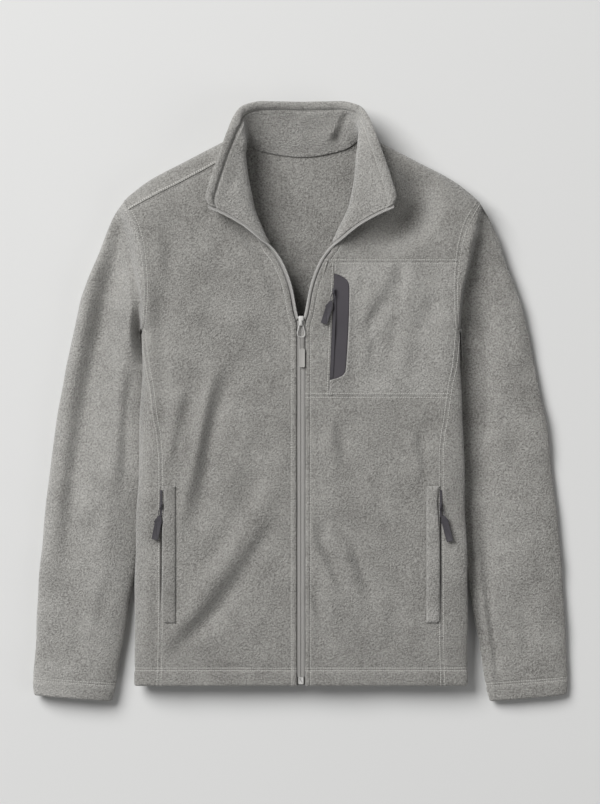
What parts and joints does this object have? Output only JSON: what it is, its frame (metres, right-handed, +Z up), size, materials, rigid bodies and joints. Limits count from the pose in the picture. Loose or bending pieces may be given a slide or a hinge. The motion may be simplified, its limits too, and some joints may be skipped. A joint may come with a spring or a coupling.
{
  "type": "fleece zip jacket",
  "caption": "Fleece jacket with a full front zip, stand collar opened out, zipped chest pocket and two zipped hand pockets, laid out flat on its back.",
  "frame": {"origin": "centre of the bounding box, on the surface that the jacket lies on", "axes": "+Y from the hem to the collar, +Z up out of the front, +X towards the wearer's left sleeve"},
  "size_m": [0.695, 0.7824, 0.061],
  "materials": {
    "fleece": "brushed polar fleece, light warm grey",
    "zip_tape": "woven tape, light grey",
    "zip_light": "light grey nylon coil",
    "slider_metal": "light grey painted zip slider and wire",
    "pull_rubber": "light grey moulded pull",
    "dark_cloth": "dark grey woven cloth",
    "dark_trim": "dark grey coil, slider and pull"
  },
  "bodies": {
    "jacket": {"back_panel": "fleece", "chest_chain": "dark_trim", "chest_slider": "dark_trim", "chest_window": "dark_cloth", "collar": "fleece", "front_left_chest": "fleece", "front_left_lower": "fleece", "front_left_strip": "fleece", "front_left_yoke": "fleece", "front_right": "fleece", "pocket_left_chain": "dark_trim", "pocket_left_slider": "dark_trim", "pocket_right_chain": "dark_trim", "pocket_right_slider": "dark_trim", "side_left": "fleece", "side_right": "fleece", "sleeve_left": "fleece", "sleeve_right": "fleece", "welt_left": "fleece", "welt_right": "fleece", "zip_box": "zip_light", "zip_chain": "zip_light", "zip_half_left": "zip_light", "zip_half_right": "zip_light", "zip_slider": "slider_metal", "zip_tape_left": "zip_tape", "zip_tape_right": "zip_tape"},
    "main_pull": {"pull_ring": "slider_metal", "pull_link": "pull_rubber", "pull_tab": "pull_rubber"},
    "chest_zip_pull": {"chest_loop": "dark_trim", "chest_pull": "dark_trim"},
    "right_pocket_pull": {"pocket_right_loop": "dark_trim", "pocket_right_pull": "dark_trim"},
    "left_pocket_pull": {"pocket_left_loop": "dark_trim", "pocket_left_pull": "dark_trim"}
  },
  "joints": [
    {"name": "main_pull_hinge", "type": "hinge", "parent": "jacket", "child": "main_pull", "pos_m": [0, 0.1005, 0.0444], "axis": [-1, 0, 0], "range_deg": [0, 160]},
    {"name": "chest_pull_hinge", "type": "hinge", "parent": "jacket", "child": "chest_zip_pull", "pos_m": [0.0426, 0.141, 0.0452], "axis": [-0.9511, 0.309, 0], "range_deg": [0, 130]},
    {"name": "right_pull_hinge", "type": "hinge", "parent": "jacket", "child": "right_pocket_pull", "pos_m": [-0.1814, -0.137, 0.04542], "axis": [-0.9816, 0.1908, 0], "range_deg": [0, 130]},
    {"name": "left_pull_hinge", "type": "hinge", "parent": "jacket", "child": "left_pocket_pull", "pos_m": [0.1814, -0.137, 0.04542], "axis": [-0.9659, -0.2588, 0], "range_deg": [0, 130]}
  ]
}
